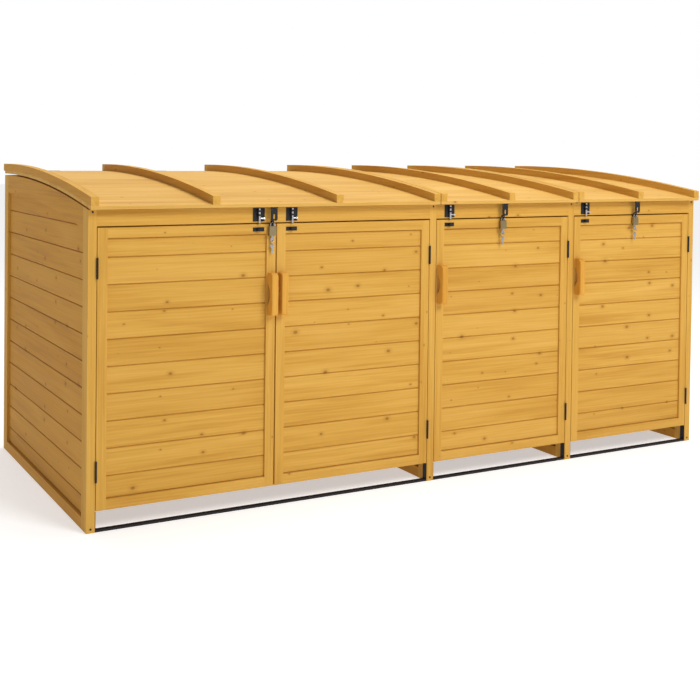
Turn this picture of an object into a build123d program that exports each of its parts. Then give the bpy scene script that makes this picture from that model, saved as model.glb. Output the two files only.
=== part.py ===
from build123d import *
import os
from math import sqrt

os.makedirs("parts", exist_ok=True)

# Recycling bin station: a stained softwood store for four wheeled bins.
# X runs along the front, the front faces -Y, Z is up, and all sizes are in millimetres.
# The origin is on the ground under the middle of the outer box.

# Driving dimensions
post_width = 34.0
post_depth = 60.0
bay_opening = 756.0
store_depth = 1250.0
store_width = 4 * post_width + 4 * bay_opening
rail_height = 45.0
side_rail_height = 83.0
panel_thickness = 28.0
joint_gap = 0.2

# Arched lids: all arcs share one centre, crown_back behind the front face
lid_radius = 7000.0
crown_height = 1358.0
crown_back = 1180.0
batten_width = 32.0
batten_height = 33.0
lid_board_thickness = 13.0
lid_overhang = 31.0
batten_tail = 25.0
lid_clearance = 7.0
lid_gap = 4.0
ledger_height = 22.0
ledger_inset = 60.0
rear_rail_drop = 1.0
lid_board_count = 12
lid_board_gap = 0.8
double_batten_offsets = [494.0, 1054.0]

# Boards with V joints
board_pitch = 102.5
board_thickness = 16.0
board_recess = 8.0
side_board_recess = 12.0
v_depth = 3.5
board_gap = 0.4
side_joint_start = 115.0
door_joint_start = 205.0
joint_count = 12
narrowest_board = 10.0

# Doors and the front frame
door_bottom = 80.0
door_top = 1137.0
door_width = 750.0
door_side_gap = 3.0
stile_width = 40.0
door_rail_height = 40.0
header_bottom = 1143.0
header_top = 1203.0
handle_length = 172.0
handle_width = 30.0
handle_depth = 40.0
handle_top_drop = 195.0
handle_corner = 18.0
handle_edge = 5.0
finger_length = 88.0
finger_depth = 22.0

# Hinges of the doors and lids
barrel_radius = 4.0
pin_radius = 2.0
pin_play = 0.08
knuckle_gap = 0.3
leaf_thickness = 1.2
leaf_reach = 24.0
door_hinge_length = 79.0
low_hinge_rise = 108.0
top_hinge_drop = 111.0
hinge_axis_forward = 4.5
lid_hinge_length = 80.0
lid_hinge_back = 4.4
lid_hinge_drop = 3.0
lid_leaf_thickness = 1.6
lid_hinge_inset = 110.0

# Bolts and their keepers
rod_radius = 4.0
rod_play = 0.3
rod_forward = 8.0
bolt_drawn_tip = 1140.0
door_1_bolt_inset = 78.0
bolt_inset = 66.0
plate_half_width = 26.0
plate_thickness = 2.0
plate_height = 54.0
guide_half_width = 9.0
guide_forward = 14.5
guide_height = 7.0
guide_rises = [22.0, 38.0]
foot_rise = 12.0
foot_reach = 18.0
foot_radius = 3.0
knob_radius = 5.0
knob_length = 8.0
keeper_half_width = 25.0
keeper_height = 16.0
keeper_drop = 29.0
keeper_thickness = 1.5
keeper_loop_half_width = 8.0
keeper_loop_forward = 14.0
keeper_play = 1.0

# Hasps, the eyes below them and the padlocks in the eyes
hasp_offsets = [766.0, 1940.0, 2751.0]
hasp_axis_back = 7.0
hasp_leaf = 1.6
hasp_leaf_back = 26.0
hasp_barrel = 3.0
hasp_pin = 1.5
hasp_axis_drop = 3.4
hasp_knuckle = 8.0
strap_width = 30.0
strap_thickness = 2.0
strap_neck = 13.4
strap_corner = 7.0
slot_length = 20.0
slot_width = 8.0
slot_rise = 17.0
strap_clearance = 8.0
eye_radius = 9.0
eye_hole = 5.5
eye_forward = 10.0
eye_rise = 8.0
eye_thickness = 5.0
eye_plate_half_width = 9.0
eye_plate_height = 20.0
shackle_radius = 2.6
shackle_span = 9.0
shackle_play = 0.9
shackle_depth = 8.0
body_width = 33.0
body_height = 38.0
body_depth = 14.0
body_drop = 14.0
body_corner = 3.0
body_edge = 1.2
key_bow = 9.0
key_thickness = 2.0
key_blade = 7.6
key_hole = 2.2
key_length = 28.0
key_hang = 15.0
key_ring = 9.0
ring_wire = 0.8

# Sills and screws
sill_depth = 22.0
sill_height = 8.0
sill_upright = 76.0
sill_wall = 3.0
sill_setback = 2.0
screw_inset = 15.0
screw_drop = 7.0
screw_head_radius = 4.0
screw_head_height = 1.2

# Worked-out places
left = -store_width / 2
front = -(store_depth + batten_tail - handle_depth) / 2
rear = front + store_depth
arc_y = front + crown_back
arc_z = crown_height - lid_radius
boards_top_radius = lid_radius - batten_height
boards_under_radius = boards_top_radius - lid_board_thickness
frame_top_radius = boards_under_radius - lid_clearance
bay_pitch = bay_opening + post_width
partition_1 = left + post_width + 2 * bay_opening
partition_2 = partition_1 + bay_pitch
frame_lefts = [left, partition_1, partition_2, -left - post_width]
bays = [
    (left + post_width, partition_1),
    (partition_1 + post_width, partition_2),
    (partition_2 + post_width, -left - post_width),
]
door_lefts = [
    bays[0][0] + door_side_gap,
    bays[0][1] - door_side_gap - door_width,
    bays[1][0] + door_side_gap,
    bays[2][0] + door_side_gap,
]
door_hinges_left = [True, False, False, False]
door_hinge_lows = [door_bottom + low_hinge_rise, door_top - top_hinge_drop - door_hinge_length]
bolt_places = [door_lefts[0] + door_width - door_1_bolt_inset] + [x + bolt_inset for x in door_lefts[1:]]
hasp_places = [left + offset for offset in hasp_offsets]
hasp_doors = [0, 2, 3]
lid_spans = [
    (left, partition_1 + post_width - lid_gap / 2),
    (partition_1 + post_width + lid_gap / 2, partition_2 + post_width - lid_gap / 2),
    (partition_2 + post_width + lid_gap / 2, -left),
]
inner_battens = [
    [left + offset for offset in double_batten_offsets],
    [sum(lid_spans[1]) / 2 - batten_width / 2],
    [sum(lid_spans[2]) / 2 - batten_width / 2],
]
lid_hinge_axis_y = rear + lid_hinge_back


def save(piece, name):
    """Label a finished sub-part and write it as its own STEP file."""
    piece.part.label = name
    export_step(piece.part, f"parts/{name}.step")


def arch_z(y, radius):
    """Height of an arc of the given radius about the common centre."""
    return arc_z + sqrt(radius**2 - (y - arc_y) ** 2)


lid_hinge_axis_z = arch_z(rear, boards_under_radius) - lid_hinge_drop


def arched_face(y_start, y_end, upper_radius, lower_radius):
    """Closed face between two arcs, in a sketch on a YZ plane."""
    y_mid = (y_start + y_end) / 2
    with BuildLine() as outline:
        ThreePointArc(
            (y_start, arch_z(y_start, upper_radius)),
            (y_mid, arch_z(y_mid, upper_radius)),
            (y_end, arch_z(y_end, upper_radius)),
        )
        Line((y_end, arch_z(y_end, upper_radius)), (y_end, arch_z(y_end, lower_radius)))
        ThreePointArc(
            (y_end, arch_z(y_end, lower_radius)),
            (y_mid, arch_z(y_mid, lower_radius)),
            (y_start, arch_z(y_start, lower_radius)),
        )
        Line((y_start, arch_z(y_start, lower_radius)), (y_start, arch_z(y_start, upper_radius)))
    make_face(outline.edges())


def arch_topped_face(y_start, y_end, z_low, radius):
    """Upright face with straight sides and an arched top, in a sketch on a YZ plane."""
    y_mid = (y_start + y_end) / 2
    with BuildLine() as outline:
        Line((y_start, z_low), (y_end, z_low))
        Line((y_end, z_low), (y_end, arch_z(y_end, radius)))
        ThreePointArc(
            (y_end, arch_z(y_end, radius)),
            (y_mid, arch_z(y_mid, radius)),
            (y_start, arch_z(y_start, radius)),
        )
        Line((y_start, arch_z(y_start, radius)), (y_start, z_low))
    make_face(outline.edges())


def box_between(x_low, x_high, y_low, y_high, z_low, z_high):
    """Add a square-edged piece between two corners."""
    with BuildSketch(Plane.XY.offset(z_low)) as plan:
        with Locations(((x_low + x_high) / 2, (y_low + y_high) / 2)):
            Rectangle(x_high - x_low, y_high - y_low)
    extrude(plan.sketch, amount=z_high - z_low)


def board_face(face, back, z_low, z_high):
    """Cross-section of a board whose two show edges are cut back to a V."""
    shoulder = face + v_depth * (1 if back > face else -1)
    with BuildLine() as outline:
        Polyline(
            (back, z_low),
            (back, z_high),
            (shoulder, z_high),
            (face, z_high - v_depth),
            (face, z_low + v_depth),
            (shoulder, z_low),
            close=True,
        )
    make_face(outline.edges())


def board_edges(z_low, z_high, first_joint):
    """Heights between which each board of a field lies."""
    joints = [first_joint + board_pitch * i for i in range(joint_count)]
    inside = [z for z in joints if z_low + narrowest_board < z < z_high - narrowest_board]
    return list(zip([z_low] + inside, inside + [z_high]))


def boards_along_x(x_low, x_high, face, back, z_low, z_high, first_joint):
    """Add a field of level boards that run along X."""
    for low, high in board_edges(z_low, z_high, first_joint):
        with BuildSketch(Plane.YZ.offset(x_low)) as section:
            board_face(face, back, low + board_gap / 2, high - board_gap / 2)
        extrude(section.sketch, amount=x_high - x_low)


# Side frames and partitions: two posts, a bottom rail and an arched top rail each
side_names = ["left_side", "partition_1", "partition_2", "right_side"]
field_front = front + post_depth + joint_gap
field_rear = rear - post_depth - joint_gap
field_top_radius = frame_top_radius - side_rail_height
for side_name, x_low in zip(side_names, frame_lefts):
    with BuildPart() as side_frame:
        with BuildSketch(Plane.YZ.offset(x_low)):
            arch_topped_face(front, front + post_depth, 0, frame_top_radius)
            arch_topped_face(rear - post_depth, rear, 0, frame_top_radius)
            arched_face(field_front, field_rear, frame_top_radius, field_top_radius)
            with Locations(((field_front + field_rear) / 2, rail_height / 2)):
                Rectangle(field_rear - field_front, rail_height)
        extrude(amount=post_width)
    save(side_frame, f"{side_name}_frame")

    outward_left = side_name != "right_side"
    board_show = x_low + (side_board_recess if outward_left else post_width - side_board_recess)
    board_back = board_show + (board_thickness if outward_left else -board_thickness)
    field_low_top = arch_z(field_front, field_top_radius)
    level_joints = board_edges(rail_height + joint_gap, field_low_top, side_joint_start)
    with BuildPart() as side_boards:
        for low, high in level_joints[:-1]:
            with BuildSketch(Plane.XZ.offset(-(field_rear - joint_gap))):
                board_face(board_show, board_back, low + board_gap / 2, high - board_gap / 2)
            extrude(amount=field_rear - field_front - 2 * joint_gap)
        with BuildSketch(Plane.YZ.offset(min(board_show, board_back))):
            arch_topped_face(
                field_front + joint_gap,
                field_rear - joint_gap,
                level_joints[-2][1] + board_gap / 2,
                field_top_radius - joint_gap,
            )
        extrude(amount=board_thickness)
        top_board = side_boards.solids().sort_by(Axis.Z)[-1]
        show_edges = top_board.edges().filter_by(Axis.Y).group_by(Axis.Z)[0].sort_by(Axis.X)
        chamfer(show_edges[0 if outward_left else -1], length=v_depth)
        groove_height = level_joints[-2][1] + board_pitch
        groove_side = v_depth if outward_left else -v_depth
        with BuildSketch(Plane.XZ.offset(-rear)):
            with BuildLine():
                Polyline(
                    (board_show, groove_height - v_depth),
                    (board_show + groove_side, groove_height),
                    (board_show, groove_height + v_depth),
                    close=True,
                )
            make_face()
        extrude(amount=store_depth, mode=Mode.SUBTRACT)
    save(side_boards, f"{side_name}_boards")

# Headers: one fixed board over each front opening
with BuildPart() as headers:
    for x_low, x_high in bays:
        box_between(
            x_low + joint_gap, x_high - joint_gap, front, front + panel_thickness, header_bottom, header_top
        )
save(headers, "headers")

# Rear wall: rails between the rear posts, with one upright in the double bay
rear_inner = rear - panel_thickness
rear_rail_top = arch_z(rear_inner, frame_top_radius) - rear_rail_drop
rear_rail_bottom = rear_rail_top - side_rail_height
muntin_left = (bays[0][0] + bays[0][1] - post_width) / 2
with BuildPart() as rear_rails:
    for x_low, x_high in bays:
        box_between(x_low + joint_gap, x_high - joint_gap, rear_inner, rear, 0, rail_height)
        box_between(x_low + joint_gap, x_high - joint_gap, rear_inner, rear, rear_rail_bottom, rear_rail_top)
    box_between(
        muntin_left,
        muntin_left + post_width,
        rear_inner,
        rear,
        rail_height + joint_gap,
        rear_rail_bottom - joint_gap,
    )
save(rear_rails, "rear_rails")

rear_fields = [
    (bays[0][0], muntin_left),
    (muntin_left + post_width, bays[0][1]),
    bays[1],
    bays[2],
]
with BuildPart() as rear_boards:
    for x_low, x_high in rear_fields:
        boards_along_x(
            x_low + joint_gap,
            x_high - joint_gap,
            rear - board_recess,
            rear - board_recess - board_thickness,
            rail_height + joint_gap,
            rear_rail_bottom - joint_gap,
            side_joint_start,
        )
save(rear_boards, "rear_boards")

# Steel sills: a flat bar on the ground whose ends turn up against the posts
sill_front = front + sill_setback
for sill_name, (x_low, x_high) in zip(["sill_double_bay", "sill_bay_3", "sill_bay_4"], bays):
    with BuildPart() as sill:
        box_between(
            x_low + joint_gap, x_high - joint_gap, sill_front, sill_front + sill_depth, 0, sill_height
        )
        for x_end in (x_low + joint_gap, x_high - joint_gap - sill_wall):
            box_between(x_end, x_end + sill_wall, sill_front, sill_front + sill_depth, 0, sill_upright)
        inner_corners = sill.edges().filter_by(Axis.Y).group_by(Axis.Z)[1]
        fillet(inner_corners, radius=sill_wall)
    save(sill, sill_name)

# Screws through the posts: only their domed heads stand on the wood
screw_heights = [screw_inset, header_top - screw_drop]
with BuildPart() as frame_screws:
    for x_low in frame_lefts:
        for z in screw_heights:
            with BuildSketch(Plane.XZ.offset(-front)):
                with Locations((x_low + post_width / 2, z)):
                    Circle(screw_head_radius)
            extrude(amount=screw_head_height)
save(frame_screws, "frame_screws")


# Butt hinges of the doors, with their pins upright in the gap beside each post
def door_hinge_axis(door):
    """X of the pin, in the middle of the gap on the hinged side."""
    if door_hinges_left[door]:
        return door_lefts[door] - door_side_gap / 2
    return door_lefts[door] + door_width + door_side_gap / 2


knuckle = (door_hinge_length - 2 * knuckle_gap) / 3
pin_y = front - hinge_axis_forward


def upright_leaf(x_low, y_low, z_low, z_high):
    """Add a leaf that lies in the gap, from y_low back to its rear edge."""
    box_between(x_low, x_low + leaf_thickness, y_low, front + leaf_reach, z_low, z_high)


with BuildPart() as door_hinge_post_leaves:
    for door in range(4):
        pin_x = door_hinge_axis(door)
        gap_left = pin_x - door_side_gap / 2
        leaf_x = gap_left if door_hinges_left[door] else gap_left + door_side_gap - leaf_thickness
        for z_low in door_hinge_lows:
            z_high = z_low + door_hinge_length
            for z in (z_low, z_high - knuckle):
                with BuildSketch(Plane.XY.offset(z)):
                    with Locations((pin_x, pin_y)):
                        Circle(barrel_radius)
                extrude(amount=knuckle)
                upright_leaf(leaf_x, pin_y, z, z + knuckle)
            upright_leaf(leaf_x, front + joint_gap, z_low, z_high)
            with BuildSketch(Plane.XY.offset(z_low)):
                with Locations((pin_x, pin_y)):
                    Circle(pin_radius)
            extrude(amount=door_hinge_length)
save(door_hinge_post_leaves, "door_hinge_post_leaves")

# Doors: framed panels of level boards, each with a bridge handle and black ironwork
keeper_bottom = door_top - keeper_drop
keeper_loop_inset = 4.0
eye_height = door_top + eye_rise
for door, x_low in enumerate(door_lefts):
    x_high = x_low + door_width
    number = door + 1
    with BuildPart() as door_frame:
        for x_stile in (x_low, x_high - stile_width):
            box_between(
                x_stile, x_stile + stile_width, front, front + panel_thickness, door_bottom, door_top
            )
        for z_rail in (door_bottom, door_top - door_rail_height):
            box_between(
                x_low + stile_width + joint_gap,
                x_high - stile_width - joint_gap,
                front,
                front + panel_thickness,
                z_rail,
                z_rail + door_rail_height,
            )
    save(door_frame, f"door_{number}_frame")

    with BuildPart() as door_boards:
        boards_along_x(
            x_low + stile_width + joint_gap,
            x_high - stile_width - joint_gap,
            front + board_recess,
            front + board_recess + board_thickness,
            door_bottom + door_rail_height + joint_gap,
            door_top - door_rail_height - joint_gap,
            door_joint_start,
        )
    save(door_boards, f"door_{number}_boards")

    handle_x = (x_high if door_hinges_left[door] else x_low + stile_width) - stile_width / 2
    handle_mid = door_top - handle_top_drop - handle_length / 2
    with BuildPart() as handle:
        with BuildSketch(Plane.YZ.offset(handle_x - handle_width / 2)):
            with Locations((front - handle_depth / 2, handle_mid)):
                Rectangle(handle_depth, handle_length)
            outer_corners = vertices().group_by(Axis.X)[0]
            fillet(outer_corners, radius=handle_corner)
            with BuildLine():
                ThreePointArc(
                    (front, handle_mid - finger_length / 2),
                    (front - finger_depth, handle_mid),
                    (front, handle_mid + finger_length / 2),
                )
                Line((front, handle_mid + finger_length / 2), (front, handle_mid - finger_length / 2))
            make_face(mode=Mode.SUBTRACT)
        extrude(amount=handle_width)
        fillet(handle.edges().group_by(Axis.Y)[0], radius=handle_edge)
    save(handle, f"door_{number}_handle")

    pin_x = door_hinge_axis(door)
    gap_left = pin_x - door_side_gap / 2
    leaf_x = gap_left + door_side_gap - leaf_thickness if door_hinges_left[door] else gap_left
    with BuildPart() as door_ironwork:
        for z_low in door_hinge_lows:
            z_high = z_low + door_hinge_length
            z_mid = z_low + knuckle + knuckle_gap
            upright_leaf(leaf_x, front + joint_gap, z_low, z_high)
            upright_leaf(leaf_x, pin_y, z_mid, z_mid + knuckle)
            with BuildSketch(Plane.XY.offset(z_mid)):
                with Locations((pin_x, pin_y)):
                    Circle(barrel_radius)
            extrude(amount=knuckle)
            with BuildSketch(Plane.XY.offset(z_mid)):
                with Locations((pin_x, pin_y)):
                    Circle(pin_radius + pin_play)
            extrude(amount=knuckle, mode=Mode.SUBTRACT)
        bolt_x = bolt_places[door]
        box_between(
            bolt_x - keeper_half_width,
            bolt_x + keeper_half_width,
            front - keeper_thickness,
            front,
            keeper_bottom,
            keeper_bottom + keeper_height,
        )
        box_between(
            bolt_x - keeper_loop_half_width,
            bolt_x + keeper_loop_half_width,
            front - keeper_loop_forward,
            front - keeper_thickness,
            keeper_bottom + keeper_loop_inset,
            keeper_bottom + keeper_height - keeper_loop_inset,
        )
        with BuildSketch(Plane.XY.offset(keeper_bottom)):
            with Locations((bolt_x, front - rod_forward)):
                Circle(rod_radius + keeper_play)
        extrude(amount=keeper_height, mode=Mode.SUBTRACT)
        if door in hasp_doors:
            eye_x = hasp_places[hasp_doors.index(door)]
            box_between(
                eye_x - eye_plate_half_width,
                eye_x + eye_plate_half_width,
                front - keeper_thickness,
                front,
                door_top - eye_plate_height,
                door_top,
            )
            box_between(
                eye_x - eye_thickness / 2,
                eye_x + eye_thickness / 2,
                front - eye_radius,
                front,
                door_top - eye_rise,
                door_top,
            )
            with BuildSketch(Plane.YZ.offset(eye_x - eye_thickness / 2)):
                with Locations((front - eye_forward, eye_height)):
                    Circle(eye_radius)
                    Circle(eye_hole, mode=Mode.SUBTRACT)
            extrude(amount=eye_thickness)
    save(door_ironwork, f"door_{number}_ironwork")

# Barrel bolts: plates with two guide loops on the headers, and the rods that slide in them
plate_bottom = header_bottom + 5.0
plate_top = plate_bottom + plate_height
foot_height = plate_bottom + foot_rise
with BuildPart() as bolt_plates:
    for bolt_x in bolt_places:
        box_between(
            bolt_x - plate_half_width,
            bolt_x + plate_half_width,
            front - plate_thickness,
            front,
            plate_bottom,
            plate_top,
        )
        for rise in guide_rises:
            box_between(
                bolt_x - guide_half_width,
                bolt_x + guide_half_width,
                front - guide_forward,
                front - plate_thickness,
                plate_bottom + rise,
                plate_bottom + rise + guide_height,
            )
        with BuildSketch(Plane.XY.offset(plate_bottom + guide_rises[0])):
            with Locations((bolt_x, front - rod_forward)):
                Circle(rod_radius + rod_play)
        extrude(amount=plate_height, mode=Mode.SUBTRACT)
save(bolt_plates, "bolt_plates")

for door, bolt_x in enumerate(bolt_places):
    with BuildPart() as bolt_rod:
        with BuildSketch(Plane.XY.offset(bolt_drawn_tip)):
            with Locations((bolt_x, front - rod_forward)):
                Circle(rod_radius)
        extrude(amount=plate_top - plate_thickness - bolt_drawn_tip)
        chamfer(bolt_rod.edges().group_by(Axis.Z)[0], length=1)
        with BuildSketch(Plane.YZ.offset(bolt_x)):
            with Locations((front - rod_forward, foot_height)):
                Circle(foot_radius)
        extrude(amount=foot_reach)
        with BuildSketch(Plane.YZ.offset(bolt_x + foot_reach - 2)):
            with Locations((front - rod_forward, foot_height)):
                Circle(knob_radius)
        extrude(amount=knob_length)
        fillet(bolt_rod.edges().group_by(Axis.X)[-1], radius=2)
    save(bolt_rod, f"bolt_rod_{door + 1}")

# Lid hinges on the rear wall: leaves on the rear top rail, and pins along X
double_hinge_offsets = [190.0, 749.0, 1308.0]
lid_hinge_places = [
    [left + offset for offset in double_hinge_offsets],
    [lid_spans[1][0] + lid_hinge_inset, lid_spans[1][1] - lid_hinge_inset - lid_hinge_length],
    [lid_spans[2][0] + lid_hinge_inset, lid_spans[2][1] - lid_hinge_inset - lid_hinge_length],
]
lid_knuckle = (lid_hinge_length - 2 * knuckle_gap) / 3
rear_leaf_height = 29.0
rear_leaf_drop = 5.0
lid_leaf_height = 12.4
lid_leaf_rise = 4.6
wing_drop = 12.0


def level_barrel(x_low, length, radius, mode=Mode.ADD):
    """Add or cut a round length along X on the lid hinge pin."""
    with BuildSketch(Plane.YZ.offset(x_low)) as ring:
        with Locations((lid_hinge_axis_y, lid_hinge_axis_z)):
            Circle(radius)
    extrude(ring.sketch, amount=length, mode=mode)


with BuildPart() as lid_hinge_rear_leaves:
    for x_low in lid_hinge_places[0] + lid_hinge_places[1] + lid_hinge_places[2]:
        x_high = x_low + lid_hinge_length
        for x in (x_low, x_high - lid_knuckle):
            level_barrel(x, lid_knuckle, barrel_radius)
            box_between(
                x,
                x + lid_knuckle,
                rear,
                rear + lid_leaf_thickness,
                lid_hinge_axis_z - wing_drop,
                lid_hinge_axis_z,
            )
        box_between(
            x_low,
            x_high,
            rear,
            rear + lid_leaf_thickness,
            lid_hinge_axis_z - rear_leaf_drop - rear_leaf_height,
            lid_hinge_axis_z - rear_leaf_drop,
        )
        level_barrel(x_low, lid_hinge_length, pin_radius)
save(lid_hinge_rear_leaves, "lid_hinge_rear_leaves")

# Lids: curved boards under arched battens, with ledgers beneath and ironwork front and rear
hasp_axis_y = front - lid_overhang + hasp_axis_back
hasp_axis_z = arch_z(hasp_axis_y, boards_under_radius - hasp_leaf) - hasp_axis_drop
batten_setback = lid_board_gap / 2
lid_names = ["lid_double", "lid_bay_3", "lid_bay_4"]
for lid, (x_low, x_high) in enumerate(lid_spans):
    with BuildPart() as lid_boards:
        pitch = (store_depth + lid_overhang) / lid_board_count
        for i in range(lid_board_count):
            y_start = front - lid_overhang + i * pitch
            with BuildSketch(Plane.YZ.offset(x_low)):
                arched_face(
                    y_start + lid_board_gap / 2,
                    y_start + pitch - lid_board_gap / 2,
                    boards_top_radius,
                    boards_under_radius,
                )
            extrude(amount=x_high - x_low)
    save(lid_boards, f"{lid_names[lid]}_boards")

    with BuildPart() as lid_battens:
        for x in [x_low] + inner_battens[lid] + [x_high - batten_width]:
            with BuildSketch(Plane.YZ.offset(x)):
                arched_face(
                    front - lid_overhang + batten_setback, rear + batten_tail, lid_radius, boards_top_radius
                )
            extrude(amount=batten_width)
        for x in inner_battens[lid]:
            with BuildSketch(Plane.YZ.offset(x)):
                arched_face(
                    front + ledger_inset,
                    rear - ledger_inset,
                    boards_under_radius,
                    boards_under_radius - ledger_height,
                )
            extrude(amount=batten_width)
    save(lid_battens, f"{lid_names[lid]}_battens")

    hasp_x = hasp_places[lid]
    with BuildPart() as lid_ironwork:
        for x in lid_hinge_places[lid]:
            x_mid = x + lid_knuckle + knuckle_gap
            level_barrel(x_mid, lid_knuckle, barrel_radius)
            box_between(
                x_mid,
                x_mid + lid_knuckle,
                rear,
                rear + lid_leaf_thickness,
                lid_hinge_axis_z,
                lid_hinge_axis_z + lid_leaf_rise + lid_leaf_thickness,
            )
            box_between(
                x,
                x + lid_hinge_length,
                rear,
                rear + lid_leaf_thickness,
                lid_hinge_axis_z + lid_leaf_rise,
                lid_hinge_axis_z + lid_leaf_rise + lid_leaf_height,
            )
            level_barrel(x_mid, lid_knuckle, pin_radius + pin_play, mode=Mode.SUBTRACT)
        hasp_left = hasp_x - strap_width / 2
        with BuildSketch(Plane.YZ.offset(hasp_left)):
            arched_face(
                front - lid_overhang + 1,
                front - lid_overhang + hasp_leaf_back,
                boards_under_radius,
                boards_under_radius - hasp_leaf,
            )
        extrude(amount=strap_width)
        for x in (hasp_left, hasp_left + strap_width - hasp_knuckle):
            box_between(
                x,
                x + hasp_knuckle,
                hasp_axis_y - hasp_barrel,
                hasp_axis_y + hasp_barrel,
                hasp_axis_z,
                hasp_axis_z + hasp_axis_drop + hasp_leaf / 2,
            )
            with BuildSketch(Plane.YZ.offset(x)):
                with Locations((hasp_axis_y, hasp_axis_z)):
                    Circle(hasp_barrel)
            extrude(amount=hasp_knuckle)
        with BuildSketch(Plane.YZ.offset(hasp_left)):
            with Locations((hasp_axis_y, hasp_axis_z)):
                Circle(hasp_pin)
        extrude(amount=strap_width)
    save(lid_ironwork, f"{lid_names[lid]}_ironwork")

# Hasp straps: they hang under the lips of the lids and have a slot near the lower end
strap_bottom = header_bottom + strap_clearance
strap_top = hasp_axis_z - hasp_barrel - 1
for number, hasp_x in enumerate(hasp_places, start=1):
    with BuildPart() as hasp_strap:
        with BuildSketch(Plane.XZ.offset(-(hasp_axis_y + strap_thickness / 2))):
            with Locations((hasp_x, (strap_bottom + strap_top) / 2)):
                Rectangle(strap_width, strap_top - strap_bottom)
            fillet(vertices().group_by(Axis.Y)[0], radius=strap_corner)
            with Locations((hasp_x, strap_top)):
                Rectangle(strap_neck, 2 * hasp_barrel)
            with Locations((hasp_x, strap_bottom + slot_rise)):
                SlotOverall(slot_length, slot_width, rotation=90, mode=Mode.SUBTRACT)
        extrude(amount=strap_thickness)
        with BuildSketch(Plane.YZ.offset(hasp_x - strap_neck / 2)):
            with Locations((hasp_axis_y, hasp_axis_z)):
                Circle(hasp_barrel)
        extrude(amount=strap_neck)
        with BuildSketch(Plane.YZ.offset(hasp_x - strap_neck / 2)):
            with Locations((hasp_axis_y, hasp_axis_z)):
                Circle(hasp_pin + pin_play)
        extrude(amount=strap_neck, mode=Mode.SUBTRACT)
    save(hasp_strap, f"hasp_strap_{number}")

# Padlocks with their keys: each hangs by its shackle in the eye over a door's top rail
lock_y = front - eye_forward
shackle_top = eye_height - eye_hole + shackle_radius + shackle_play
arc_centre_z = shackle_top - shackle_span
body_top = shackle_top - body_drop
body_bottom = body_top - body_height
keyway_width = 8.6
keyway_depth = 2.6
keyway_length = 9.0
first_bow = body_bottom - key_hang
first_hole = first_bow - key_bow + 4.0
second_hole = first_hole - 2 * key_ring
second_bow = second_hole - key_bow + 4.0
ring_centre = (first_hole + second_hole) / 2
key_shapes = [
    (first_bow, first_hole, first_bow, body_bottom + shackle_depth),
    (second_bow, second_hole, second_bow - key_length, second_bow),
]
for number, lock_x in enumerate(hasp_places, start=1):
    with BuildPart() as padlock_body:
        box_between(
            lock_x - body_width / 2,
            lock_x + body_width / 2,
            lock_y - body_depth / 2,
            lock_y + body_depth / 2,
            body_bottom,
            body_top,
        )
        fillet(padlock_body.edges().filter_by(Axis.Z), radius=body_corner)
        chamfer(padlock_body.faces().sort_by(Axis.Z)[-1].edges(), length=body_edge)
        with BuildSketch(Plane.XY.offset(body_top - keyway_length)):
            with Locations((lock_x - shackle_span, lock_y), (lock_x + shackle_span, lock_y)):
                Circle(shackle_radius + 0.05)
        extrude(amount=keyway_length, mode=Mode.SUBTRACT)
        with BuildSketch(Plane.XY.offset(body_bottom)):
            with Locations((lock_x, lock_y)):
                Rectangle(keyway_width, keyway_depth)
        extrude(amount=keyway_length, mode=Mode.SUBTRACT)
    save(padlock_body, f"padlock_{number}_body")

    shackle_foot = body_top - shackle_depth
    with BuildPart() as shackle:
        with BuildLine(Plane.XZ.offset(-lock_y)):
            Line((lock_x - shackle_span, shackle_foot), (lock_x - shackle_span, arc_centre_z))
            ThreePointArc(
                (lock_x - shackle_span, arc_centre_z),
                (lock_x, shackle_top),
                (lock_x + shackle_span, arc_centre_z),
            )
            Line((lock_x + shackle_span, arc_centre_z), (lock_x + shackle_span, shackle_foot))
        with BuildSketch(Plane.XY.offset(shackle_foot)):
            with Locations((lock_x - shackle_span, lock_y)):
                Circle(shackle_radius)
        sweep()
    save(shackle, f"padlock_{number}_shackle")

    with BuildPart() as keys:
        for bow_z, hole_z, blade_low, blade_high in key_shapes:
            with BuildSketch(Plane.XZ.offset(-(lock_y + key_thickness / 2))):
                with Locations((lock_x, bow_z)):
                    Circle(key_bow)
                with Locations((lock_x, (blade_low + blade_high) / 2)):
                    Rectangle(key_blade, blade_high - blade_low)
                with Locations((lock_x, hole_z)):
                    Circle(key_hole, mode=Mode.SUBTRACT)
            extrude(amount=key_thickness)
        with BuildSketch(Plane.XZ.offset(-lock_y)):
            with Locations((lock_x, first_hole)):
                Circle(ring_wire)
        revolve(axis=Axis((lock_x, lock_y, ring_centre), (1, 0, 0)))
    save(keys, f"padlock_{number}_keys")
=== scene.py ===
import math
import bpy
import bmesh
from mathutils import Matrix, Vector


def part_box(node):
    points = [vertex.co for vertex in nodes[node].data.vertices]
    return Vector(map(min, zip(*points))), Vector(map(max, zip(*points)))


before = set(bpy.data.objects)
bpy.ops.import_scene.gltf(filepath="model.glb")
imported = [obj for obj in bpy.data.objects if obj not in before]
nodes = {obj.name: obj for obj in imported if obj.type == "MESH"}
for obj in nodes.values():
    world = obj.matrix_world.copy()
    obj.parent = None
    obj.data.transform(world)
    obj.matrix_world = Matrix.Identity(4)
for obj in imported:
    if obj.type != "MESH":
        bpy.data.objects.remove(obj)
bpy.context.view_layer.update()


# --- Where the viewer stands ---
# The store is seen from its left front, from just above the lids.
# The lens stays almost level and is shifted instead, so that the posts stay upright.
stand = Vector((-2.80627, -4.31609, 1.41945))
turn, tilt, lean = 0.45089, 0.01988, -0.00973
focal_in_widths = 1.49847
film_width = 36.0
shift_right, shift_up = 0.1765, -0.2518
farthest_seen = 100

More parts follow.
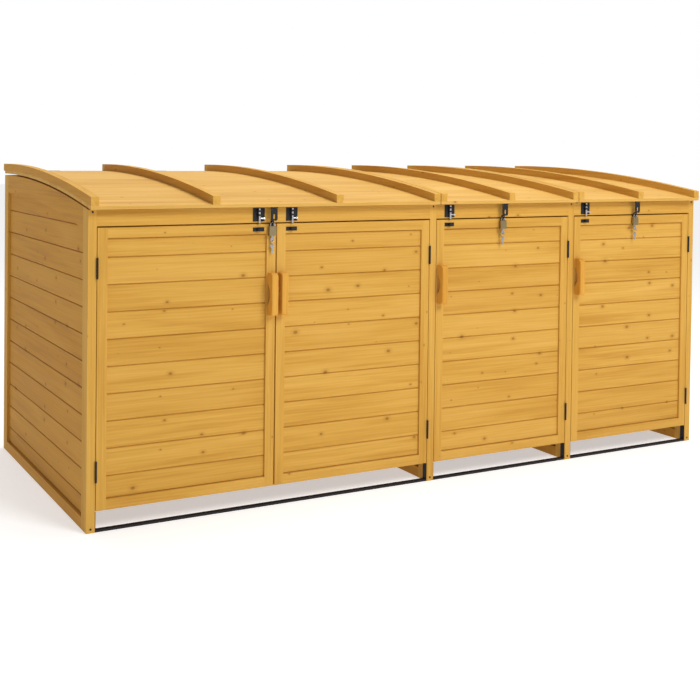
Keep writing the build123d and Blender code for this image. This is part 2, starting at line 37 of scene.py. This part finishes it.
ahead = Vector((math.sin(turn) * math.cos(tilt), math.cos(turn) * math.cos(tilt), -math.sin(tilt)))
level_right = Vector((math.cos(turn), -math.sin(turn), 0))
level_down = ahead.cross(level_right)
right = level_right * math.cos(lean) + level_down * math.sin(lean)
down = level_down * math.cos(lean) - level_right * math.sin(lean)
lens = bpy.data.cameras.new("view")
lens.sensor_width = film_width
lens.lens = film_width * focal_in_widths
lens.shift_x = shift_right
lens.shift_y = shift_up
lens.clip_end = farthest_seen
view = bpy.data.objects.new("view", lens)
view.matrix_world = Matrix.Translation(stand) @ Matrix((right, -down, -ahead)).transposed().to_4x4()
bpy.context.scene.collection.objects.link(view)
bpy.context.scene.camera = view
bpy.context.scene.view_settings.view_transform = "Standard"


# --- Floor and light ---
# A pale backlit floor and a white wall behind, with a dimmer room to the left and behind the viewer.
# One broad lamp stands high before the front, so the left side falls into soft shade,
# and a second hangs over the lids.
def shader(name):
    """A new material, its node tree and its principled shader."""
    material = bpy.data.materials.new(name)
    material.use_nodes = True
    tree = material.node_tree
    return material, tree, tree.nodes["Principled BSDF"]


floor_side, floor_front, floor_back = 30, -20, 40
floor_grey, floor_glow = 0.70, 0.50
floor_mesh = bpy.data.meshes.new("floor")
floor_form = bmesh.new()
for x, y in ((-1, floor_front), (1, floor_front), (1, floor_back), (-1, floor_back)):
    floor_form.verts.new((x * floor_side, y, 0))
floor_form.faces.new(floor_form.verts)
floor_form.to_mesh(floor_mesh)
floor_form.free()
floor = bpy.data.objects.new("floor", floor_mesh)
bpy.context.scene.collection.objects.link(floor)
floor_paint, floor_tree, floor_bsdf = shader("pale_floor")
floor_bsdf.inputs["Base Color"].default_value = (floor_grey, floor_grey, floor_grey, 1)
floor_bsdf.inputs["Emission Color"].default_value = (1, 1, 1, 1)
floor_bsdf.inputs["Emission Strength"].default_value = floor_glow
floor_bsdf.inputs["Roughness"].default_value = 0.9
floor_mesh.materials.append(floor_paint)

wall_light = 1.0
room_light = 0.26
left_dimming = 0.6
dim_until, white_from = 0.1, 0.6
world = bpy.data.worlds.new("studio")
world.use_nodes = True
world_nodes, world_link = world.node_tree.nodes, world.node_tree.links
direction = world_nodes.new("ShaderNodeSeparateXYZ")
world_link.new(world_nodes.new("ShaderNodeTexCoord").outputs["Generated"], direction.inputs[0])
brightness = world_nodes.new("ShaderNodeMapRange")
toward_wall = world_nodes.new("ShaderNodeMath")
toward_wall.operation = "MULTIPLY_ADD"
world_link.new(direction.outputs["X"], toward_wall.inputs[0])
toward_wall.inputs[1].default_value = left_dimming
world_link.new(direction.outputs["Y"], toward_wall.inputs[2])
world_link.new(toward_wall.outputs[0], brightness.inputs["Value"])
brightness.inputs["From Min"].default_value = dim_until
brightness.inputs["From Max"].default_value = white_from
brightness.inputs["To Min"].default_value = room_light
brightness.inputs["To Max"].default_value = wall_light
world_nodes["Background"].inputs["Color"].default_value = (1, 1, 1, 1)
world_link.new(brightness.outputs[0], world_nodes["Background"].inputs["Strength"])
bpy.context.scene.world = world


def soft_lamp(name, place, aim, size, power):
    """A square area lamp at a place, turned to face its aim."""
    lamp = bpy.data.lights.new(name, "AREA")
    lamp.size = size
    lamp.energy = power
    holder = bpy.data.objects.new(name, lamp)
    holder.location = place
    holder.rotation_euler = (Vector(aim) - Vector(place)).to_track_quat("-Z", "Y").to_euler()
    bpy.context.scene.collection.objects.link(holder)


soft_lamp("front_light", place=(1.2, -5.2, 5.2), aim=(0, 0, 0.6), size=2.6, power=275)
soft_lamp("top_light", place=(0.6, 0.6, 6.0), aim=(0, 0, 1.2), size=4.0, power=160)


# --- Stained fir ---
# Planed fir boards, stained honey yellow, with a thin satin coat.
# Each board has its own tone, long grain, a few small brown knots and faint streaks,
# and the stain lies darker in the V joints.
def fir(name, run, tone, knots=1.0, stack=None, first_joint=0.0, pitch=0.1025, butts=(), joint_width=0.0):
    """Fir whose grain follows the axis run; boards lie side by side along the axis stack, each one
    pitch wide from the first joint on, and end at the butts. Knots scales the knots' size."""
    material, tree, bsdf = shader(name)
    new, link = tree.nodes.new, tree.links.new

    def plug(socket, value):
        if isinstance(value, (int, float)):
            socket.default_value = value
        elif isinstance(value, tuple):
            socket.default_value = value if len(socket.default_value) == 3 else (*value, 1)
        else:
            link(value, socket)

    def math_of(kind, a, b=0.0):
        node = new("ShaderNodeMath")
        node.operation = kind
        plug(node.inputs[0], a)
        plug(node.inputs[1], b)
        return node.outputs[0]

    def ramp(source, stops):
        node = new("ShaderNodeValToRGB")
        link(source, node.inputs[0])
        line = node.color_ramp
        line.elements[0].position, line.elements[0].color = stops[0][0], (*stops[0][1], 1)
        line.elements[1].position, line.elements[1].color = stops[-1][0], (*stops[-1][1], 1)
        for place, colour in stops[1:-1]:
            line.elements.new(place).color = (*colour, 1)
        return node.outputs[0]

    def fade(source, start, end):
        node = new("ShaderNodeMapRange")
        node.interpolation_type = "SMOOTHSTEP"
        plug(node.inputs["Value"], source)
        node.inputs["From Min"].default_value = start
        node.inputs["From Max"].default_value = end
        return node.outputs[0]

    def blend(kind, factor, first, second):
        node = new("ShaderNodeMix")
        node.data_type = "RGBA"
        node.blend_type = kind
        plug(node.inputs["Factor"], factor)
        plug(node.inputs[6], first)
        plug(node.inputs[7], second)
        return node.outputs[2]

    place = new("ShaderNodeTexCoord").outputs["Object"]
    parts = new("ShaderNodeSeparateXYZ")
    link(place, parts.inputs[0])
    along = parts.outputs[run]
    others = [parts.outputs[axis] for axis in "XYZ" if axis != run]
    across = math_of("ADD", others[0], others[1])

    # Which board a point lies on, counted along the stack and from butt end to butt end
    board_to_board = (7.0, 7.0, 7.0)
    board, bay = 0.0, 0.0
    if stack:
        steps = math_of("DIVIDE", math_of("SUBTRACT", parts.outputs[stack], first_joint), pitch)
        board = math_of("FLOOR", steps)
    for butt in butts:
        bay = math_of("ADD", bay, math_of("GREATER_THAN", parts.outputs["X"], butt))
    seed = new("ShaderNodeCombineXYZ")
    plug(seed.inputs[0], board)
    plug(seed.inputs[1], bay)
    chance = new("ShaderNodeTexWhiteNoise")
    link(seed.outputs[0], chance.inputs["Vector"])
    shift = new("ShaderNodeVectorMath")
    shift.operation = "MULTIPLY_ADD"
    link(chance.outputs["Color"], shift.inputs[0])
    shift.inputs[1].default_value = board_to_board
    link(place, shift.inputs[2])

    def stretched(along_scale, across_scale):
        node = new("ShaderNodeMapping")
        node.inputs["Scale"].default_value = [along_scale if axis == run else across_scale for axis in "XYZ"]
        link(shift.outputs[0], node.inputs["Vector"])
        return node.outputs[0]

    def noise(vector, detail, rough=0.55, warp=0.0):
        node = new("ShaderNodeTexNoise")
        link(vector, node.inputs["Vector"])
        node.inputs["Scale"].default_value = 1.0
        node.inputs["Detail"].default_value = detail
        node.inputs["Roughness"].default_value = rough
        node.inputs["Distortion"].default_value = warp
        return node.outputs["Fac"]

    # Long grain: a broad wavering band, fine lines and open pores
    broad = noise(stretched(0.9, 9.0), detail=3.0, rough=0.5, warp=0.7)
    fine = noise(stretched(2.2, 75.0), detail=4.0, rough=0.6, warp=0.3)
    pores = noise(stretched(14.0, 420.0), detail=2.0, rough=0.6)
    ring_drift, ring_slant = 3.0, 0.10
    rings = new("ShaderNodeTexWave")
    rings.bands_direction = "X"
    ring_place = new("ShaderNodeCombineXYZ")
    drift = math_of("MULTIPLY", chance.outputs["Value"], ring_drift)
    link(math_of("ADD", across, drift), ring_place.inputs[0])
    link(math_of("MULTIPLY", along, ring_slant), ring_place.inputs[1])
    link(ring_place.outputs[0], rings.inputs["Vector"])
    rings.inputs["Scale"].default_value = 26.0
    rings.inputs["Distortion"].default_value = 6.0
    rings.inputs["Detail"].default_value = 2.0
    rings.inputs["Detail Scale"].default_value = 0.9

    def tinted(shares):
        return tuple(part * share for part, share in zip(tone, shares))

    light, dark = tinted((1.10, 1.15, 1.40)), tinted((0.84, 0.76, 0.62))
    ring_strength, ring_stain = 0.34, (0.93, 0.84, 0.66)
    grain = math_of("ADD", math_of("MULTIPLY", broad, 0.5), math_of("MULTIPLY", fine, 0.5))
    colour = ramp(grain, [(0.34, dark), (0.5, tone), (0.68, light)])
    ringed = math_of("MULTIPLY", rings.outputs["Fac"], ring_strength)
    colour = blend("MULTIPLY", ringed, colour, ring_stain)
    board_tone = ramp(
        chance.outputs["Value"],
        [(0.0, (0.95, 0.92, 0.87)), (0.5, (1, 1, 1)), (1.0, (1.03, 1.04, 1.08))],
    )
    colour = blend("MULTIPLY", 1.0, colour, board_tone)

    # Knots: small dark ovals with a browner halo, drawn out along the grain
    knots_along, knots_across = 6.5, 9.5
    bare_share, widest, narrowest = 0.45, 0.125, 0.0004
    halo_strength, heart_strength = 0.30, 0.62
    heart_wood = (0.21, 0.085, 0.018)
    knot_place = new("ShaderNodeCombineXYZ")
    link(math_of("MULTIPLY", math_of("ADD", along, bay), knots_along), knot_place.inputs[0])
    link(math_of("MULTIPLY", across, knots_across), knot_place.inputs[1])
    spots = new("ShaderNodeTexVoronoi")
    spots.voronoi_dimensions = "2D"
    spots.inputs["Scale"].default_value = 1.0
    link(knot_place.outputs[0], spots.inputs["Vector"])
    luck = new("ShaderNodeSeparateColor")
    link(spots.outputs["Color"], luck.inputs[0])
    surplus = math_of("MAXIMUM", math_of("SUBTRACT", luck.outputs[0], bare_share), 0.0)
    reach = math_of("MULTIPLY", surplus, widest * knots)
    ratio = math_of("DIVIDE", spots.outputs["Distance"], math_of("ADD", reach, narrowest))
    halo = fade(ratio, 3.2, 0.8)
    heart = fade(ratio, 1.25, 0.55)
    colour = blend("MIX", math_of("MULTIPLY", halo, halo_strength), colour, tinted((0.66, 0.50, 0.36)))
    colour = blend("MIX", math_of("MULTIPLY", heart, heart_strength), colour, heart_wood)

    # Streaks of resin and mineral stain
    streak_strength = 0.30
    streak = fade(noise(stretched(1.3, 30.0), detail=1.0, rough=0.4), 0.62, 0.78)
    colour = blend("MIX", math_of("MULTIPLY", streak, streak_strength), colour, tinted((0.76, 0.60, 0.40)))

    # Stain gathers in the joints between boards
    if stack and joint_width:
        joint_strength, joint_core, joint_stain = 0.5, 0.3, (0.66, 0.48, 0.26)
        off_joint = math_of("ABSOLUTE", math_of("SUBTRACT", steps, math_of("ROUND", steps)))
        joint = fade(math_of("MULTIPLY", off_joint, pitch), joint_width, joint_width * joint_core)
        colour = blend("MULTIPLY", math_of("MULTIPLY", joint, joint_strength), colour, joint_stain)
    link(colour, bsdf.inputs["Base Color"])

    satin, flat = (0.58, 0.58, 0.58), (0.72, 0.72, 0.72)
    link(ramp(fine, [(0.3, satin), (0.7, flat)]), bsdf.inputs["Roughness"])
    bsdf.inputs["Specular IOR Level"].default_value = 0.12
    relief = new("ShaderNodeBump")
    relief.inputs["Strength"].default_value = 0.22
    relief.inputs["Distance"].default_value = 0.0006
    height = math_of("ADD", math_of("MULTIPLY", fine, 0.6), math_of("MULTIPLY", pores, 0.4))
    link(height, relief.inputs["Height"])
    link(relief.outputs[0], bsdf.inputs["Normal"])
    return material


edge_steps = 2
sharp_turn = math.radians(40)


def finish_node(name, finishes, round_edges=0.0, pick=None):
    """Give a node its finishes, face by face where pick chooses, and ease its edges."""
    piece = nodes[name]
    piece.data.materials.clear()
    for material in finishes:
        piece.data.materials.append(material)
    if pick:
        for face in piece.data.polygons:
            face.material_index = pick(piece.matrix_world @ face.center)
    if round_edges:
        eased = piece.modifiers.new("eased_edges", "BEVEL")
        eased.width = round_edges
        eased.segments = edge_steps
        eased.limit_method = "ANGLE"
        eased.angle_limit = sharp_turn


# --- Side frames and partitions ---
# Planed fir posts with a bottom rail and an arched top rail glued between them,
# and level V-jointed boards set into the frame. The rails and boards get a darker, browner tone than the
# posts: painted shade for the side walls, which stand in shade.
honey = (0.635, 0.352, 0.066)
# Painted shade: this darker, browner tone for the side rails and boards stands in for the shade on the side
# walls.
shaded_side_honey = (0.58, 0.285, 0.042)
planed_edge, board_edge = 0.0012, 0.0004
joint_shade = 0.004
side_first_joint = 0.115
post_depth = 0.060
hair = 0.0001
post_fir = fir("fir_post", "Z", honey, knots=0.5)
shaded_side_rail_fir = fir("fir_side_rail_painted_shade", "Y", shaded_side_honey, knots=0.6)
shaded_side_board_fir = fir(
    "fir_side_boards_painted_shade", "Y", shaded_side_honey, stack="Z", first_joint=side_first_joint, joint_width=joint_shade
)
side_low, side_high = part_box("left_side_frame")
rails_start = side_low.y + post_depth + hair
rails_end = side_high.y - post_depth - hair


def side_piece(centre):
    """Second finish, the darker painted-shade fir, for the rails that lie between the two posts."""
    return 1 if rails_start < centre.y < rails_end else 0


for side in ("left_side", "partition_1", "partition_2", "right_side"):
    finish_node(f"{side}_frame", (post_fir, shaded_side_rail_fir), planed_edge, side_piece)
    finish_node(f"{side}_boards", (shaded_side_board_fir,), board_edge)

# --- Headers and rear wall ---
# One planed board over each front opening; at the rear, rails and one upright
# hold level V-jointed boards. The grain changes where two doors or two bays meet.
doors_meet = (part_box("door_1_frame")[1].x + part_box("door_2_frame")[0].x) / 2
bays_meet = [sum(corner.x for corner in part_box(f"partition_{number}_frame")) / 2 for number in (1, 2)]
rail_fir = fir("fir_rail", "X", honey, knots=0.7, butts=(doors_meet, *bays_meet))
rear_board_fir = fir(
    "fir_rear_boards",
    "X",
    honey,
    stack="Z",
    first_joint=side_first_joint,
    butts=(doors_meet, *bays_meet),
    joint_width=joint_shade,
)
finish_node("headers", (rail_fir,), planed_edge)
finish_node("rear_rails", (rail_fir,), planed_edge)
finish_node("rear_boards", (rear_board_fir,), board_edge)

# --- Doors ---
# Two stiles and two rails framed round level V-jointed boards,
# with a sanded bridge handle screwed on from behind.
door_first_joint = 0.205
stile_width = 0.040
handle_honey = (0.68, 0.345, 0.055)
handle_edge = 0.002
door_board_fir = fir(
    "fir_door_boards",
    "X",
    honey,
    stack="Z",
    first_joint=door_first_joint,
    butts=(doors_meet, *bays_meet),
    joint_width=joint_shade,
)
handle_fir = fir("fir_handle", "Z", handle_honey, knots=0.2)
for number in range(1, 5):
    door_low, door_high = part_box(f"door_{number}_frame")
    rail_start = door_low.x + stile_width + hair
    rail_end = door_high.x - stile_width - hair
    finish_node(
        f"door_{number}_frame",
        (post_fir, rail_fir),
        planed_edge,
        lambda centre: 1 if rail_start < centre.x < rail_end else 0,
    )
    finish_node(f"door_{number}_boards", (door_board_fir,), board_edge)
    finish_node(f"door_{number}_handle", (handle_fir,), handle_edge)

# --- Lids ---
# Thin boards laid along the front, nailed under arched battens that run front to back.
# The boards are given a tone a little paler than the doors'.
roof_tone = (0.66, 0.385, 0.090)
roof_edge, batten_edge = 0.0008, 0.0015
roof_boards, roof_gap = 12, 0.0008
face_depth = 0.001
roof_low, roof_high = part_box("lid_double_boards")
roof_fir = fir(
    "fir_roof_boards",
    "X",
    roof_tone,
    knots=0.6,
    stack="Y",
    first_joint=roof_low.y - roof_gap / 2,
    pitch=(roof_high.y - roof_low.y + roof_gap) / roof_boards,
    butts=bays_meet,
)
batten_fir = fir("fir_batten", "Y", honey, knots=0.5)
# Painted shade: the left-hand batten's outer face, which faces away from the lamps, gets the darker side
# fir.
outer_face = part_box("lid_double_battens")[0].x + face_depth


def batten_piece(centre):
    """Second finish, the darker painted-shade side fir, for the outer face of the left-hand batten, beside
    the side frame.
    """
    return 1 if centre.x < outer_face else 0


for lid in ("lid_double", "lid_bay_3", "lid_bay_4"):
    finish_node(f"{lid}_boards", (roof_fir,), roof_edge)
    finish_node(f"{lid}_battens", (batten_fir, shaded_side_rail_fir), batten_edge, batten_piece)


# --- Ironwork ---
# Hinges, bolt plates, keepers, hasps and sills are pressed steel with a black powder coat.
# The coat is finely pebbled; rods, shackles and keys are bare plated metal.
def metal(name, colour, rough, metallic, pebble=0.0):
    """A metal finish with fine uneven gloss, and a pebbled coat where asked."""
    smoother, rougher = 0.08, 0.10
    darker, paler = 0.82, 1.15
    material, tree, bsdf = shader(name)
    new, link = tree.nodes.new, tree.links.new
    place = new("ShaderNodeTexCoord").outputs["Object"]
    cloud = new("ShaderNodeTexNoise")
    link(place, cloud.inputs["Vector"])
    cloud.inputs["Scale"].default_value = 90.0
    cloud.inputs["Detail"].default_value = 4.0
    spread = new("ShaderNodeMapRange")
    link(cloud.outputs["Fac"], spread.inputs["Value"])
    spread.inputs["To Min"].default_value = rough - smoother
    spread.inputs["To Max"].default_value = rough + rougher
    link(spread.outputs[0], bsdf.inputs["Roughness"])
    bsdf.inputs["Metallic"].default_value = metallic
    shade = new("ShaderNodeValToRGB")
    link(cloud.outputs["Fac"], shade.inputs[0])
    shade.color_ramp.elements[0].color = (*[part * darker for part in colour], 1)
    shade.color_ramp.elements[1].color = (*[min(1, part * paler) for part in colour], 1)
    link(shade.outputs[0], bsdf.inputs["Base Color"])
    if pebble:
        bsdf.inputs["Specular IOR Level"].default_value = 0.3
        grit = new("ShaderNodeTexNoise")
        link(place, grit.inputs["Vector"])
        grit.inputs["Scale"].default_value = 700.0
        relief = new("ShaderNodeBump")
        relief.inputs["Strength"].default_value = pebble
        relief.inputs["Distance"].default_value = 0.0002
        link(grit.outputs["Fac"], relief.inputs["Height"])
        link(relief.outputs[0], bsdf.inputs["Normal"])
    return material


coat_edge = 0.0002
black_iron = metal("black_coat", (0.012, 0.012, 0.014), rough=0.50, metallic=0.0, pebble=0.25)
zinc = metal("zinc_plate", (0.72, 0.73, 0.76), rough=0.28, metallic=1.0)
first_words = ("sill_", "hasp_strap_")
last_words = ("_ironwork", "_leaves", "_plates", "_screws")
for name in nodes:
    if name.startswith(first_words) or name.endswith(last_words):
        finish_node(name, (black_iron,), coat_edge)
for number in range(1, 5):
    finish_node(f"bolt_rod_{number}", (zinc,))

# --- Padlocks ---
# Brushed brass bodies with polished steel shackles, hung from an eye on a door's top rail.
# Two steel keys hang from each on a ring.
lock_edge, key_edge = 0.0003, 0.0001
brass = metal("brushed_brass", (0.36, 0.28, 0.15), rough=0.36, metallic=1.0)
steel = metal("polished_steel", (0.50, 0.50, 0.50), rough=0.20, metallic=1.0)
for number in range(1, 4):
    finish_node(f"padlock_{number}_body", (brass,), lock_edge)
    finish_node(f"padlock_{number}_shackle", (steel,))
    finish_node(f"padlock_{number}_keys", (steel,), key_edge)
